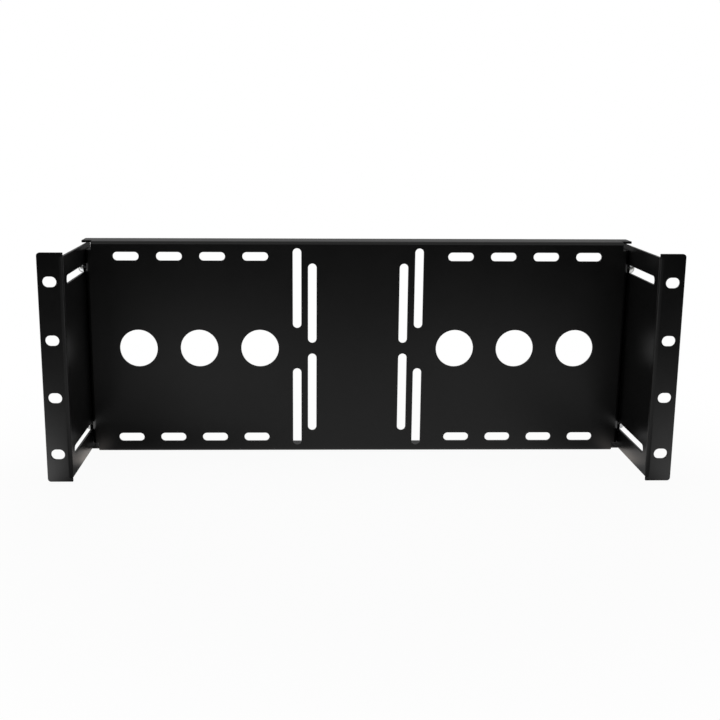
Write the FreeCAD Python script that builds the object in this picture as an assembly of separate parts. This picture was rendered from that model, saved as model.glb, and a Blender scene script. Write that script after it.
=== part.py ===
import FreeCAD, Part
import os
from math import sin, tan

# A four-unit bracket that carries a flat screen in a nineteen-inch rack: a folded panel with screen
# slots, held between two folded side brackets by screws that clamp it at any depth along their slots.
# X is to the right, Y is back into the rack, Z is up. The origin is the middle of the rack slots, on
# the front face of the ears. All sizes are in millimetres.

# Rack face
rack_width = 482.6
rack_unit = 44.45
rack_slot_count = 4
rack_slot_inset = 8.75          # slot's middle, in from the ear's outer edge
rack_slot_length = 10.5
rack_slot_width = 8.0
ear_width = 19.3                # outer edge to the side plate's inner face
ear_outer_corner = 2.5
face_height = 177.0             # ears, and the panel over its flanges

# Sheet steel
bracket_sheet = 2.0
panel_sheet = 2.0
inside_bend = 1.0

# Depth adjustment
side_slot_width = 6.5
side_slot_spacing = 133.35      # upper slot to lower slot
side_slot_front_web = 12.0      # ear's front face to the slot's front end
side_slot_rear_web = 8.0
front_travel = 73.75
rear_travel = 5.0
slide_clearance = 0.3           # each side, between the panel and a side plate
lap_clearance = 1.0             # panel's flange over the side plate's edge
side_rear_corner = 3.0

# Panel folds
clamp_setback = 9.0             # clamp screws, behind the panel's front face
flange_depth = 24.0             # top and bottom flanges, from the panel's front face
side_flange_depth = 20.0
flange_overhang = 1.5           # flange past the side plate's outer face
corner_notch_width = 4.7
corner_notch_height = 7.0
corner_notch_depth = 7.0

# Panel openings
screen_pitches = (100.0, 75.0)  # the two square hole patterns on the backs of screens
screen_slot_length = 66.0
screen_slot_width = 7.0
cable_hole_diameter = 31.0
cable_hole_first = 80.7
cable_hole_pitch = 50.0
cable_hole_edge = 30.0          # least distance from the last hole's middle to the panel's edge
tie_slot_length = 21.0
tie_slot_width = 7.0
tie_slot_first = 84.0
tie_slot_pitch = 35.0
tie_slot_edge = 25.0            # least distance from the last slot's middle to the panel's edge
tie_row_inset = 12.3            # row's middle, in from the panel's top or bottom

# Clamp screws, washers and clinch nuts
screw_diameter = 5.0
screw_length = 10.0
head_diameter = 9.5
head_top_diameter = 6.0
head_height = 3.7
head_side_height = 2.2
recess_span = 5.2
recess_width = 1.1
recess_depth = 2.0
washer_diameter = 12.0
washer_thickness = 1.0
washer_clearance = 0.15         # all round the screw
nut_diameter = 9.5
nut_height = 4.0
nut_pilot_diameter = 6.4
nut_pilot_length = 1.5
pilot_clearance = 0.02          # all round the pilot, in the side flange
thread_clearance = 0.05         # all round the screw, in the nut

# Places that follow from the sizes above
half_height = face_height / 2
ear_outer = rack_width / 2
side_inner = ear_outer - ear_width
side_outer = side_inner + bracket_sheet
side_half_height = half_height - panel_sheet - lap_clearance
clamp_y = side_slot_front_web + side_slot_width / 2 + front_travel
clamp_z = side_slot_spacing / 2
side_depth = clamp_y + rear_travel + side_slot_width / 2 + side_slot_rear_web
panel_half_width = side_inner - slide_clearance
panel_front = clamp_y - clamp_setback

ORIGIN = FreeCAD.Vector(0, 0, 0)
X = FreeCAD.Vector(1, 0, 0)
Y = FreeCAD.Vector(0, 1, 0)
Z = FreeCAD.Vector(0, 0, 1)
PUNCH_REACH = 1.0               # how far a punch passes each face of a sheet
SHORTEST = 1e-6


def rounded_face(corners):
    """A flat face round corners given as (point, radius), each rounded to its own radius."""
    edges = []
    ends = []
    for here, (point, radius) in enumerate(corners):
        back = (corners[here - 1][0] - point).normalize()
        ahead = (corners[(here + 1) % len(corners)][0] - point).normalize()
        half_angle = back.getAngle(ahead) / 2
        start = point + back * (radius / tan(half_angle))
        end = point + ahead * (radius / tan(half_angle))
        if radius > 0:
            middle = point + (back + ahead).normalize() * (radius / sin(half_angle) - radius)
            edges.append(Part.Arc(start, middle, end).toShape())
        ends.append((start, end))
    for here, (start, end) in enumerate(ends):
        last_end = ends[here - 1][1]
        if last_end.distanceToPoint(start) > SHORTEST:
            edges.append(Part.makeLine(last_end, start))
    return Part.Face(Part.Wire(Part.__sortEdges__(edges)))


def slot_punch(middle, along, drive, length, width, sheet):
    """A round-ended punch whose middle lies on a sheet's near face, driven through the sheet."""
    start = middle - drive * PUNCH_REACH
    run = along * (length / 2)
    side = along.cross(drive) * (width / 2)
    corners = [start + run + side, start - run + side, start - run - side, start + run - side]
    outline = rounded_face([(corner, width / 2) for corner in corners])
    return outline.extrude(drive * (sheet + 2 * PUNCH_REACH))


def one_sheet(flats, punches):
    """Flats and folds joined into one sheet, with its holes punched."""
    joined = flats[0].fuse(flats[1:]).removeSplitter()
    return joined.cut(Part.makeCompound(punches)).Solids[0]


def mirrored(shape):
    return shape.mirror(ORIGIN, X)


def ear():
    """The flat that bolts to the rack, with a tab past each end of the fold."""
    fold = side_inner + inside_bend + bracket_sheet
    outline = [
        (fold, -side_half_height, 0), (side_inner, -side_half_height, 0),
        (side_inner, -half_height, 0), (ear_outer, -half_height, ear_outer_corner),
        (ear_outer, half_height, ear_outer_corner), (side_inner, half_height, 0),
        (side_inner, side_half_height, 0), (fold, side_half_height, 0),
    ]
    corners = [(X * x + Z * z, radius) for x, z, radius in outline]
    return rounded_face(corners).extrude(Y * bracket_sheet)


def ear_fold():
    """The quarter turn between the ear and the side plate."""
    outside_bend = inside_bend + bracket_sheet
    outline = [
        (side_inner + outside_bend, 0, 0), (side_inner, 0, outside_bend), (side_inner, outside_bend, 0),
        (side_outer, outside_bend, 0), (side_outer, bracket_sheet, inside_bend),
        (side_inner + outside_bend, bracket_sheet, 0),
    ]
    corners = [(X * x + Y * y - Z * side_half_height, radius) for x, y, radius in outline]
    return rounded_face(corners).extrude(Z * (2 * side_half_height))


def side_plate():
    """The flat that runs back into the rack beside the panel."""
    front = inside_bend + bracket_sheet
    outline = [
        (front, -side_half_height, 0), (side_depth, -side_half_height, side_rear_corner),
        (side_depth, side_half_height, side_rear_corner), (front, side_half_height, 0),
    ]
    corners = [(X * side_inner + Y * y + Z * z, radius) for y, z, radius in outline]
    return rounded_face(corners).extrude(X * bracket_sheet)


def right_side_bracket():
    punches = []
    lowest = -rack_unit * (rack_slot_count - 1) / 2
    for place in range(rack_slot_count):
        middle = X * (ear_outer - rack_slot_inset) + Z * (lowest + place * rack_unit)
        punches.append(slot_punch(middle, X, Y, rack_slot_length, rack_slot_width, bracket_sheet))
    side_slot_length = front_travel + rear_travel + side_slot_width
    side_slot_middle = side_slot_front_web + side_slot_length / 2
    for height in (-clamp_z, clamp_z):
        middle = X * side_inner + Y * side_slot_middle + Z * height
        punches.append(slot_punch(middle, Y, X, side_slot_length, side_slot_width, bracket_sheet))
    return one_sheet([ear(), ear_fold(), side_plate()], punches)


def channel(across, half_span, depth, along, half_length):
    """The panel's face with a flange folded back at both ends of one direction."""
    outside_bend = inside_bend + panel_sheet
    inner = half_span - panel_sheet
    outline = [
        (half_span, depth, 0), (half_span, 0, outside_bend),
        (-half_span, 0, outside_bend), (-half_span, depth, 0),
        (-inner, depth, 0), (-inner, panel_sheet, inside_bend),
        (inner, panel_sheet, inside_bend), (inner, depth, 0),
    ]
    near_end = Y * panel_front - along * half_length
    corners = [(near_end + across * u + Y * v, radius) for u, v, radius in outline]
    return rounded_face(corners).extrude(along * (2 * half_length))


def flange_lap(bottom):
    """The free part of a top or bottom flange, long enough to lap over both side plates."""
    half_length = side_outer + flange_overhang
    corner = FreeCAD.Vector(-half_length, panel_front + corner_notch_depth, bottom)
    return Part.makeBox(2 * half_length, flange_depth - corner_notch_depth, panel_sheet, corner)


def half_row(first, pitch, edge):
    """Places out along half the panel's width, for as long as they fit."""
    count = int((panel_half_width - edge - first) / pitch) + 1
    return [first + place * pitch for place in range(count)]


def panel_punches():
    face = Y * panel_front
    tie_row = half_height - tie_row_inset
    punches = []
    for side in (-1, 1):
        for pitch in screen_pitches:
            for row in (-1, 1):
                middle = face + X * (side * pitch / 2) + Z * (row * pitch / 2)
                punches.append(slot_punch(middle, Z, Y, screen_slot_length, screen_slot_width, panel_sheet))
        for place in half_row(tie_slot_first, tie_slot_pitch, tie_slot_edge):
            for row in (-tie_row, tie_row):
                middle = face + X * (side * place) + Z * row
                punches.append(slot_punch(middle, X, Y, tie_slot_length, tie_slot_width, panel_sheet))
        for place in half_row(cable_hole_first, cable_hole_pitch, cable_hole_edge):
            start = face + X * (side * place) - Y * PUNCH_REACH
            depth = panel_sheet + 2 * PUNCH_REACH
            punches.append(Part.makeCylinder(cable_hole_diameter / 2, depth, start, Y))
    return punches


def nut_punches():
    """Holes for the clinch nuts in the side flanges."""
    radius = nut_pilot_diameter / 2 + pilot_clearance
    reach = panel_sheet + 2 * PUNCH_REACH
    start = X * (panel_half_width - panel_sheet - PUNCH_REACH)
    return at_clamps(Part.makeCylinder(radius, reach, start, X))


def mounting_panel():
    face_half_width = panel_half_width - corner_notch_width
    face_half_height = half_height - corner_notch_height
    flats = [
        channel(Z, half_height, flange_depth, X, face_half_width),
        channel(X, panel_half_width, side_flange_depth, Z, face_half_height),
        flange_lap(half_height - panel_sheet),
        flange_lap(-half_height),
    ]
    return one_sheet(flats, panel_punches() + nut_punches())


def at_clamps(piece):
    """Copies at the four clamp screws of a piece made on the X axis for the right side."""
    copies = []
    for height in (-clamp_z, clamp_z):
        right = piece.translated(Y * clamp_y + Z * height)
        copies += [right, mirrored(right)]
    return copies


def turned(outline):
    """A piece turned about the X axis from (x, radius, corner radius) points."""
    corners = [(X * x + Y * y, radius) for x, y, radius in outline]
    return rounded_face(corners).revolve(ORIGIN, X, 360)


def clamp_screw():
    """A pan-head screw with a cross recess, its head against the washer."""
    screw = turned([
        (-screw_length, 0, 0), (-screw_length, screw_diameter / 2, 0), (0, screw_diameter / 2, 0),
        (0, head_diameter / 2, 0), (head_side_height, head_diameter / 2, 0),
        (head_height, head_top_diameter / 2, 0), (head_height, 0, 0),
    ])
    bottom = head_height - recess_depth
    for span, width in ((recess_span, recess_width), (recess_width, recess_span)):
        corner = FreeCAD.Vector(bottom, -span / 2, -width / 2)
        screw = screw.cut(Part.makeBox(head_height, span, width, corner))
    return screw.translated(X * (side_outer + washer_thickness))


def washer():
    start = X * side_outer
    bore = screw_diameter / 2 + washer_clearance
    disc = Part.makeCylinder(washer_diameter / 2, washer_thickness, start, X)
    return disc.cut(Part.makeCylinder(bore, washer_thickness, start, X))


def clinch_nut():
    """A round nut pressed into the side flange from inside the panel."""
    bore = screw_diameter / 2 + thread_clearance
    pilot = nut_pilot_diameter / 2
    radius = nut_diameter / 2
    nut = turned([
        (nut_pilot_length, bore, 0), (nut_pilot_length, pilot, 0), (0, pilot, 0), (0, radius, 0),
        (-nut_height, radius, 0), (-nut_height, bore, 0),
    ])
    return nut.translated(X * (panel_half_width - panel_sheet))


right_bracket = right_side_bracket()
pieces = {
    "right_side_bracket": right_bracket,
    "left_side_bracket": mirrored(right_bracket),
    "mounting_panel": mounting_panel(),
    "clinch_nuts": Part.makeCompound(at_clamps(clinch_nut())),
    "clamp_washers": Part.makeCompound(at_clamps(washer())),
    "clamp_screws": Part.makeCompound(at_clamps(clamp_screw())),
}

os.makedirs("parts", exist_ok=True)
for node, shape in pieces.items():
    shape.exportStep("parts/" + node + ".step")
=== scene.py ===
from math import copysign, hypot, pi, radians
import bmesh
import bpy
from mathutils import Matrix, Vector


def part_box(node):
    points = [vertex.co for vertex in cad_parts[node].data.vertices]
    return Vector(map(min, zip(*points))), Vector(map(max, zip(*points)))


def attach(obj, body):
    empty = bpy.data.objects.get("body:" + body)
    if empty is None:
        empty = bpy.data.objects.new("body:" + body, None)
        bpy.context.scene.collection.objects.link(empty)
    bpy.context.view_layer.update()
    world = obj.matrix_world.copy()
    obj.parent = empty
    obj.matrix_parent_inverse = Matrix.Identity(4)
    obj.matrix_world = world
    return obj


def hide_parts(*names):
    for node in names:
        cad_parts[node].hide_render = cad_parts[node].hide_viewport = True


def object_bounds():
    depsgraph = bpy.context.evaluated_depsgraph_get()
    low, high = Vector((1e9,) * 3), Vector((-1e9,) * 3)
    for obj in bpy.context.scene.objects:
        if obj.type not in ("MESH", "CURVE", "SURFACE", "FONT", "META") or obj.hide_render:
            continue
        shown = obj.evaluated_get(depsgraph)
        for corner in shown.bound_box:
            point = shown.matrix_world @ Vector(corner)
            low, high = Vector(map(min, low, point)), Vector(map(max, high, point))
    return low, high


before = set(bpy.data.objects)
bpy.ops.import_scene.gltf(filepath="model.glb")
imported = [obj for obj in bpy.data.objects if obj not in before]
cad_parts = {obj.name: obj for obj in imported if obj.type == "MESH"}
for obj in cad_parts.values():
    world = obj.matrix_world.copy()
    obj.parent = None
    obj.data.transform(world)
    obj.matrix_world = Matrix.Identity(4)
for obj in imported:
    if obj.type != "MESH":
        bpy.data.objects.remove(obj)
cad_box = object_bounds()

# Side brackets: a left and a right hand of one folded sheet of 2 mm steel, with rack slots in the ear and
# two long depth slots in the plate behind it. Each is cut flat, folded once and powder-coated satin black.


class Shade:
    """A socket among a material's nodes; arithmetic on it adds Math nodes."""

    def __init__(self, tree, socket=None):
        self.tree = tree
        self.socket = socket

    def node(self, kind, settings, sockets, output=0):
        made = self.tree.nodes.new(kind)
        for name, setting in settings.items():
            setattr(made, name, setting)
        for name, value in sockets.items():
            if isinstance(value, Shade):
                self.tree.links.new(value.socket, made.inputs[name])
            else:
                made.inputs[name].default_value = value
        return Shade(self.tree, made.outputs[output] if made.outputs else None)

    def maths(self, operation, *values):
        return self.node("ShaderNodeMath", {"operation": operation}, dict(enumerate(values)))

    def __add__(self, other):
        return self.maths("ADD", self, other)

    def __sub__(self, other):
        return self.maths("SUBTRACT", self, other)

    def __rsub__(self, other):
        return self.maths("SUBTRACT", other, self)

    def __mul__(self, other):
        return self.maths("MULTIPLY", self, other)

    def __rtruediv__(self, other):
        return self.maths("DIVIDE", other, self)

    def __pow__(self, other):
        return self.maths("POWER", self, other)

    __radd__ = __add__
    __rmul__ = __mul__

    def ramp(self, low, high):
        """0 at low and 1 at high, with soft ends."""
        limits = {"Value": self, "From Min": low, "From Max": high}
        return self.node("ShaderNodeMapRange", {"interpolation_type": "SMOOTHSTEP"}, limits)

    def colours(self, first, second):
        """The first colour where this value is 0, the second where it is 1."""
        return self.node("ShaderNodeMix", {"data_type": "RGBA"}, {0: self, 6: first, 7: second}, 2)

    def noise(self, scale, detail):
        """Noise on this vector, from 0 to 1."""
        sockets = {"Vector": self, "Scale": scale, "Detail": detail, "Roughness": 0.55}
        return self.node("ShaderNodeTexNoise", {}, sockets)


def new_material(name):
    material = bpy.data.materials.new(name)
    material.use_nodes = True
    material.node_tree.nodes.clear()
    return material, Shade(material.node_tree)


def powder_coat():
    """Satin black powder, baked on: slightly uneven in gloss, with a fine orange-peel skin."""
    material, start = new_material("satin_black_powder")
    place = start.node("ShaderNodeTexCoord", {}, {}, "Object")
    cloud = place.noise(26.0, 3.0).ramp(0.30, 0.70)
    grain = place.noise(2600.0, 2.0).ramp(0.25, 0.75)
    peel = place.noise(620.0, 2.0)
    rim = start.node("ShaderNodeAttribute", {"attribute_name": "rim"}, {}, "Fac")
    colour = (0.7 * cloud + 0.3 * grain).colours((0.0055, 0.0055, 0.0058, 1), (0.0080, 0.0078, 0.0078, 1))
    roughness = 0.27 + 0.035 * cloud + 0.03 * grain - 0.03 * rim
    skin = start.node("ShaderNodeBump", {}, {
        "Strength": 1.0, "Distance": 0.000006, "Height": peel + 0.15 * grain,
    })
    powder = start.node("ShaderNodeBsdfPrincipled", {}, {
        "Base Color": colour, "Roughness": roughness, "Normal": skin, "IOR": 1.5,
    })
    start.node("ShaderNodeOutputMaterial", {}, {"Surface": powder})
    return material


def new_piece(name, shape):
    """The finished mesh as an object: flat where its faces are large, smooth where they bend."""
    mesh = bpy.data.meshes.new(name)
    for face in shape.faces:
        face.smooth = True
    shape.to_mesh(mesh)
    shape.free()
    piece = bpy.data.objects.new(name, mesh)
    bpy.context.scene.collection.objects.link(piece)
    piece.modifiers.new("flat_faces", "WEIGHTED_NORMAL")
    return piece


def merged_copy(node):
    """A CAD node's triangles, joined into whole faces."""
    shape = bmesh.new()
    shape.from_mesh(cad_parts[node].data)
    bmesh.ops.remove_doubles(shape, verts=shape.verts, dist=1e-6)
    bmesh.ops.dissolve_limit(
        shape, angle_limit=radians(0.5), verts=shape.verts, edges=shape.edges, use_dissolve_boundaries=False,
    )
    return shape


def round_edges(shape, edges, radius, segments):
    """Rounds the edges and marks the new faces as rims."""
    rim = shape.faces.layers.float.get("rim") or shape.faces.layers.float.new("rim")
    rounded = bmesh.ops.bevel(
        shape, geom=edges, offset=radius, segments=segments, profile=0.5, affect="EDGES", material=-1,
        clamp_overlap=False, loop_slide=False,
    )
    for face in rounded["faces"]:
        face[rim] = 1.0


def sharp_edges(shape):
    return [edge for edge in shape.edges if edge.calc_face_angle(0) > radians(30)]


cut_edge_radius = 0.00030


def coated_sheet(node, left_sharp):
    """A folded sheet as it looks with powder on it, its cut edges softened but for those left sharp."""
    shape = merged_copy(node)
    round_edges(shape, [edge for edge in sharp_edges(shape) if not left_sharp(edge)], cut_edge_radius, 2)
    return new_piece("coated_" + node, shape)


def fit(piece, material, body, node):
    piece.data.materials.append(material)
    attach(piece, body)
    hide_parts(node)


fold_end = 0.0855
fold_depth = 0.0030
same_place = 1e-5


def at_fold_end(edge):
    """True for the short edges where the ear's tab stands over the end of the fold."""
    return all(
        abs(abs(vert.co.z) - fold_end) < same_place and vert.co.y < fold_depth + same_place
        for vert in edge.verts
    )


black_powder = powder_coat()
for bracket in ("left_side_bracket", "right_side_bracket"):
    fit(coated_sheet(bracket, at_fold_end), black_powder, "rack_brackets", bracket)

# Mounting panel: one sheet of 2 mm steel with the screen slots, cable holes and tie slots punched in its
# face. Its four sides are folded back, the top and bottom ones long enough to lap the side brackets.

coated_panel = coated_sheet("mounting_panel", lambda edge: False)
fit(coated_panel, black_powder, "panel", "mounting_panel")

# Clinch nuts: four round steel nuts, zinc-plated, pressed into the panel's side flanges from inside so
# that the clamp screws need no spanner. Turned from bar, with a chamfer and a countersunk bore.

nut_low, nut_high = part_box("clinch_nuts")
nut_radius = (nut_high.y - nut_low.y) / 2
clamp_y = (nut_high.y + nut_low.y) / 2
clamp_spacing = 0.13335
clamp_z = clamp_spacing / 2
pilot_length = 0.0015
pilot_radius = 0.0032
nut_length = 0.0040
nut_seat = nut_high.x - pilot_length
nut_end = nut_seat - nut_length
bore_radius = 0.00255
rim_chamfer = 0.0005
bore_chamfer = 0.0004
turned_edge_radius = 0.00010
lathe_feed = 0.00035


def zinc_plate():
    """Bright zinc: pale bluish metal, faintly yellow in patches, with rings left by the lathe."""
    material, start = new_material("bright_zinc")
    place = start.node("ShaderNodeTexCoord", {}, {}, "Object")
    split = {name: start.node("ShaderNodeSeparateXYZ", {}, {0: place}, name) for name in "YZ"}
    across = split["Y"] - clamp_y
    height = start.maths("ABSOLUTE", split["Z"]) - clamp_z
    out = (across * across + height * height) ** 0.5
    rings = start.maths("SINE", out * (2 * pi / lathe_feed))
    patch = place.noise(420.0, 3.0).ramp(0.30, 0.70)
    colour = patch.colours((0.60, 0.615, 0.635, 1), (0.66, 0.655, 0.625, 1))
    roughness = 0.26 + 0.10 * patch
    marks = start.node("ShaderNodeBump", {}, {
        "Strength": 0.5, "Distance": 0.000004, "Height": rings + 0.6 * place.noise(3000.0, 2.0),
    })
    metal = start.node("ShaderNodeBsdfPrincipled", {}, {
        "Base Color": colour, "Metallic": 1.0, "Roughness": roughness, "Normal": marks,
    })
    start.node("ShaderNodeOutputMaterial", {}, {"Surface": metal})
    return material


def turned(shape, outline, closed):
    """Turns (x, radius) points about the upper right clamp screw's axis."""
    corners = [shape.verts.new((x, clamp_y + radius, clamp_z)) for x, radius in outline]
    edges = [shape.edges.new(pair) for pair in zip(corners, corners[1:])]
    if closed:
        edges.append(shape.edges.new((corners[-1], corners[0])))
    bmesh.ops.spin(
        shape, geom=corners + edges, cent=(0, clamp_y, clamp_z), axis=(1, 0, 0), angle=2 * pi, steps=48,
        use_merge=True,
    )


def at_four_clamps(shape):
    """Mirrors a piece from the upper right clamp screw to the other three."""
    for axis in "XZ":
        whole = shape.verts[:] + shape.edges[:] + shape.faces[:]
        bmesh.ops.mirror(shape, geom=whole, axis=axis, merge_dist=1e-9)
    bmesh.ops.recalc_face_normals(shape, faces=shape.faces)


bright_zinc = zinc_plate()
nuts = bmesh.new()
turned(nuts, [
    (nut_high.x, bore_radius), (nut_high.x, pilot_radius), (nut_seat, pilot_radius), (nut_seat, nut_radius),
    (nut_end + rim_chamfer, nut_radius), (nut_end, nut_radius - rim_chamfer),
    (nut_end, bore_radius + bore_chamfer), (nut_end + bore_chamfer, bore_radius),
], True)
round_edges(nuts, sharp_edges(nuts), turned_edge_radius, 2)
at_four_clamps(nuts)
fit(new_piece("zinc_clinch_nuts", nuts), bright_zinc, "panel", "clinch_nuts")

# Washers: four flat steel washers under the screw heads, wider than the depth slots so that the heads
# can't sink into them. Stamped from sheet and zinc-plated.

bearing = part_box("clamp_washers")[1].x
washer_middle = bearing - 0.0005
sliding_room = 0.00002
stamped_edge_radius = 0.00015

washers = merged_copy("clamp_washers")
for vert in washers.verts:
    if abs(vert.co.x) < washer_middle:
        vert.co.x += copysign(sliding_room, vert.co.x)
round_edges(washers, sharp_edges(washers), stamped_edge_radius, 2)
fit(new_piece("zinc_clamp_washers", washers), bright_zinc, "panel", "clamp_washers")

# Clamp screws: four M5 pan-head steel screws, zinc-plated, with a cross recess. The head is formed cold
# and the thread is rolled; they pass through the washers and depth slots into the clinch nuts.

screw_low, screw_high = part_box("clamp_screws")
head_radius = (screw_high.y - screw_low.y) / 2
head_rim = 0.9 * head_radius
shoulder_low = bearing + 0.0010
shoulder_radius = 0.0009
formed_edge_radius = 0.00012
screw_length = 0.0100
screw_tip = bearing - screw_length
under_head = bearing - 0.0001
thread_pitch = 0.0008
thread_crest = 0.00248
thread_root = 0.00203
tip_radius = thread_root - 0.0002
turn_steps = 24

heads = merged_copy("clamp_screws")
shanks = [vert for vert in heads.verts if abs(vert.co.x) < under_head]
bmesh.ops.delete(heads, geom=shanks, context="VERTS")
bmesh.ops.edgeloop_fill(heads, edges=[edge for edge in heads.edges if edge.is_boundary])


def off_axis(edge):
    """How far an edge's middle is from its screw's axis."""
    middle = (edge.verts[0].co + edge.verts[1].co) / 2
    return hypot(middle.y - clamp_y, abs(middle.z) - clamp_z)


shoulder = [
    edge for edge in sharp_edges(heads)
    if off_axis(edge) > head_rim and abs(edge.verts[0].co.x) > shoulder_low
]
round_edges(heads, shoulder, shoulder_radius, 4)
round_edges(heads, sharp_edges(heads), formed_edge_radius, 2)

thread = bmesh.new()
flank = [
    (0.0, thread_root), (0.00030, thread_crest), (0.00040, thread_crest), (0.00070, thread_root),
    (thread_pitch, thread_root),
]
start_x = screw_tip - 2 * thread_pitch
corners = [thread.verts.new((start_x + x, clamp_y + radius, clamp_z)) for x, radius in flank]
edges = [thread.edges.new(pair) for pair in zip(corners, corners[1:])]
turns = int((bearing - screw_tip) / thread_pitch) + 5
bmesh.ops.spin(
    thread, geom=corners + edges, cent=(0, clamp_y, clamp_z), axis=(1, 0, 0), angle=2 * pi * turns,
    steps=turn_steps * turns, dvec=(thread_pitch / turn_steps, 0, 0), use_merge=False,
)
bmesh.ops.remove_doubles(thread, verts=thread.verts, dist=1e-6)
for cut, side in ((screw_tip, -1), (bearing, 1)):
    bmesh.ops.bisect_plane(
        thread, geom=thread.verts[:] + thread.edges[:] + thread.faces[:], dist=1e-8, plane_co=(cut, 0, 0),
        plane_no=(side, 0, 0), clear_outer=True,
    )
for vert in thread.verts:
    axis_to = Vector((0, vert.co.y - clamp_y, vert.co.z - clamp_z))
    allowed = tip_radius + (vert.co.x - screw_tip)
    if axis_to.length > allowed:
        vert.co -= axis_to * (1 - allowed / axis_to.length)
bmesh.ops.edgeloop_fill(thread, edges=[edge for edge in thread.edges if edge.is_boundary])
at_four_clamps(thread)
threads = bpy.data.meshes.new("threads")
thread.to_mesh(threads)
thread.free()
heads.from_mesh(threads)
bpy.data.meshes.remove(threads)
bmesh.ops.recalc_face_normals(heads, faces=heads.faces)
fit(new_piece("zinc_clamp_screws", heads), bright_zinc, "panel", "clamp_screws")

# Studio: a large white sheet under the bracket, whose look in reflections holds painted light and shade,
# one soft box above and behind, and a pale room that is darker towards the camera, with a lamp above it.
# Nothing here belongs to the object.

sheet_level = cad_box[0].z - 0.0002
sheet_front = -1.7
sheet_half_width = 2.5
sheet_half_length = 2.0
behind_plates = 0.12
ray_kinds = ("Is Camera Ray", "Is Glossy Ray", "Is Transmission Ray")


def white_sheet():
    """White paper to the eye. Its tones in reflections are painted light and shade: they dim away from the
    bracket, hold a painted shadow of the bracket, and are brighter in a painted pool of light in front.
    """
    material, start = new_material("white_sheet")
    path = {name: start.node("ShaderNodeLightPath", {}, {}, name) for name in ray_kinds}
    place = start.node("ShaderNodeTexCoord", {}, {}, "Object")
    along = {name: start.node("ShaderNodeSeparateXYZ", {}, {0: place}, name) for name in "XY"}
    away = start.node("ShaderNodeVectorMath", {"operation": "LENGTH"}, {0: place}, "Value").ramp(0.22, 0.50)
    across = start.maths("ABSOLUTE", along["X"])
    ahead = start.maths("MAXIMUM", 0 - along["Y"], 0.0)
    beyond = start.maths("MAXIMUM", along["Y"] - behind_plates, 0.0)
    behind = along["Y"].ramp(0.03, 0.15)
    left = 1 - along["X"].ramp(-0.1, 0.1)
    inside = 1 - across.ramp(0.215, 0.25)
    # Painted light: a bright strip on the sheet along the foot of each side plate, seen in reflections.
    painted_light_at_plate_foot = across.ramp(0.204, 0.217) * (1 - across.ramp(0.219, 0.224)) * along["Y"].ramp(0.03, 0.06)
    plate_shade = 0.53 + 0.26 * across.ramp(0.13, 0.21)
    shadow = inside * along["Y"].ramp(-0.40, -0.03) * plate_shade * (1 - 0.95 * painted_light_at_plate_foot)
    left_side = 1 - along["X"].ramp(-0.20, 0.0)
    left_shadow = inside * left_side * along["Y"].ramp(-0.05, 0.05) * (1 - painted_light_at_plate_foot)
    gap = across - (0.256 - 0.086 * left) * ahead
    ear_end = 1 - (gap - 0.06 * ahead).ramp(0.215, 0.24)
    ear_shadow = gap.ramp(0.192, 0.212) * ear_end * ahead.ramp(0.0, 0.08)
    shaded = (1 - shadow) * (1 - 0.70 * left_shadow) * (1 - (0.40 + 0.45 * left) * ear_shadow)
    # Painted pool of light on the sheet in front of the bracket, seen in reflections.
    light_pool_width = across.ramp(0.04, 0.16) * (1 - across.ramp(0.22, 0.28))
    painted_light_pool = light_pool_width * ahead.ramp(0.10, 0.25) * (1 - ahead.ramp(0.50, 0.90)) * (0.40 + 0.30 * left)
    # Painted shade: the sheet darker in reflections out to the sides in front.
    edge = across.ramp(0.23, 0.34) * (0.42 * ahead.ramp(0.12, 0.38) + 0.25 * ahead.ramp(0.45, 0.90))
    # Painted light on the sheet just in front of each ear's foot.
    painted_light_at_ear_foot = (1 - inside) * (1 - ahead.ramp(0.05, 0.20)) * (0.12 + 0.68 * left)
    # The sheet's painted brightness in reflections, in front of and behind the plates.
    front_light = 0.95 / (1 + (3.5 * ahead) ** 1.85) * (1.05 - edge + painted_light_pool + painted_light_at_ear_foot) * shaded
    back_light = 0.60 / (1 + (2.2 * beyond) ** 1.6)
    painted_reflection_level = (1 - behind) * front_light + behind * back_light
    direct = start.maths("MAXIMUM", path["Is Camera Ray"], path["Is Transmission Ray"])
    paper = start.node("ShaderNodeBsdfDiffuse", {}, {"Color": (0.80, 0.80, 0.79, 1)})
    # Painted warm tint of the light reflected from the strip at the plates' feet.
    warm_painted_reflection = path["Is Glossy Ray"] * painted_light_at_plate_foot * (1 - behind)
    # White backdrop for the camera; painted reflection brightness for glossy rays.
    backdrop_and_painted_reflection = start.node("ShaderNodeEmission", {}, {
        "Color": warm_painted_reflection.colours((1, 1, 1, 1), (1, 0.90, 0.82, 1)),
        "Strength": direct + path["Is Glossy Ray"] * painted_reflection_level,
    })
    seen = direct * (0.95 + 0.05 * away) + path["Is Glossy Ray"]
    mixed = start.node("ShaderNodeMixShader", {}, {0: seen, 1: paper, 2: backdrop_and_painted_reflection})
    start.node("ShaderNodeOutputMaterial", {}, {"Surface": mixed})
    return material


sheet = bmesh.new()
bmesh.ops.create_grid(sheet, x_segments=1, y_segments=1, size=1.0)
bmesh.ops.scale(sheet, verts=sheet.verts, vec=(sheet_half_width, sheet_half_length, 1.0))
bmesh.ops.translate(sheet, verts=sheet.verts, vec=(0, sheet_half_length + sheet_front, sheet_level))
sheet_mesh = bpy.data.meshes.new("white_sheet")
sheet.to_mesh(sheet_mesh)
sheet.free()
sheet_mesh.materials.append(white_sheet())
floor = bpy.data.objects.new("white_sheet", sheet_mesh)
bpy.context.scene.collection.objects.link(floor)

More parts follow.
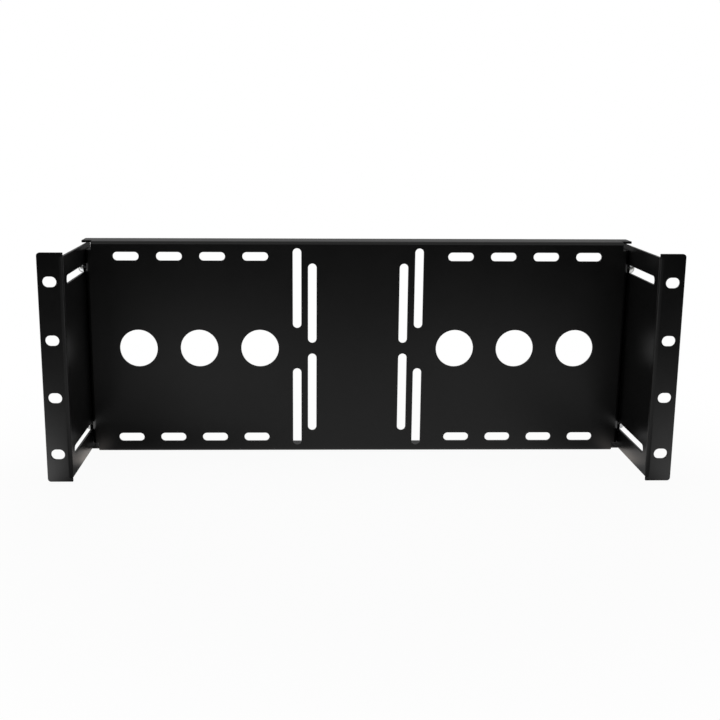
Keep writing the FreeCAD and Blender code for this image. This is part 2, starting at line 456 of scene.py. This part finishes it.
box_light = bpy.data.lights.new("soft_box", "AREA")
box_light.shape = "RECTANGLE"
box_light.size = 1.2
box_light.size_y = 0.8
box_light.energy = 8.0
soft_box = bpy.data.objects.new("soft_box", box_light)
soft_box.matrix_world = Matrix.Translation((0.0, 0.42, 0.65)) @ Matrix.Rotation(radians(-20), 4, "X")
soft_box.visible_glossy = False
bpy.context.scene.collection.objects.link(soft_box)

room = bpy.data.worlds.new("pale_room")
room.use_nodes = True
room.node_tree.nodes.clear()
walls = Shade(room.node_tree)
ray = {name: walls.node("ShaderNodeLightPath", {}, {}, name) for name in ray_kinds}
facing = walls.node("ShaderNodeTexCoord", {}, {}, "Generated")
back = walls.node("ShaderNodeSeparateXYZ", {}, {0: facing}, "Y").ramp(-0.3, 0.5)
height = walls.node("ShaderNodeSeparateXYZ", {}, {0: facing}, "Z")
direct = walls.maths("MAXIMUM", ray["Is Camera Ray"], ray["Is Transmission Ray"])
wall = 0.27 * back + (0.30 - 0.23 * back) * height.ramp(0.1, 0.4)
front_lamp = 0.36 * (1 - back) * height.ramp(0.25, 0.45) * (1 - height.ramp(0.65, 0.85))
mirror = wall + front_lamp + 0.10 * height.ramp(0.80, 0.97)
level = direct + (1 - direct) * (ray["Is Glossy Ray"] * mirror + (1 - ray["Is Glossy Ray"]) * 0.05)
light = walls.node("ShaderNodeBackground", {}, {"Color": (1, 1, 1, 1), "Strength": level})
walls.node("ShaderNodeOutputWorld", {}, {"Surface": light})
bpy.context.scene.world = room
bpy.context.scene.view_settings.view_transform = "Standard"

# Camera: in front of the bracket, a little left of its middle and looking down on it. Its place, turn and
# lens were fitted to the rack slots and screen slots in the photograph.

lens = bpy.data.cameras.new("camera")
lens.sensor_width = 36.0
lens.lens = 54.3135
lens.shift_x = 0.03833
camera = bpy.data.objects.new("camera", lens)
aim = Matrix.Rotation(radians(-1.296), 4, "Z") @ Matrix.Rotation(radians(-12.392), 4, "X")
level_turn = Matrix.Rotation(radians(-0.292), 4, "Y") @ Matrix.Rotation(radians(90), 4, "X")
camera.matrix_world = Matrix.Translation((-0.04069, -0.80164, 0.18388)) @ aim @ level_turn
bpy.context.scene.collection.objects.link(camera)
bpy.context.scene.camera = camera
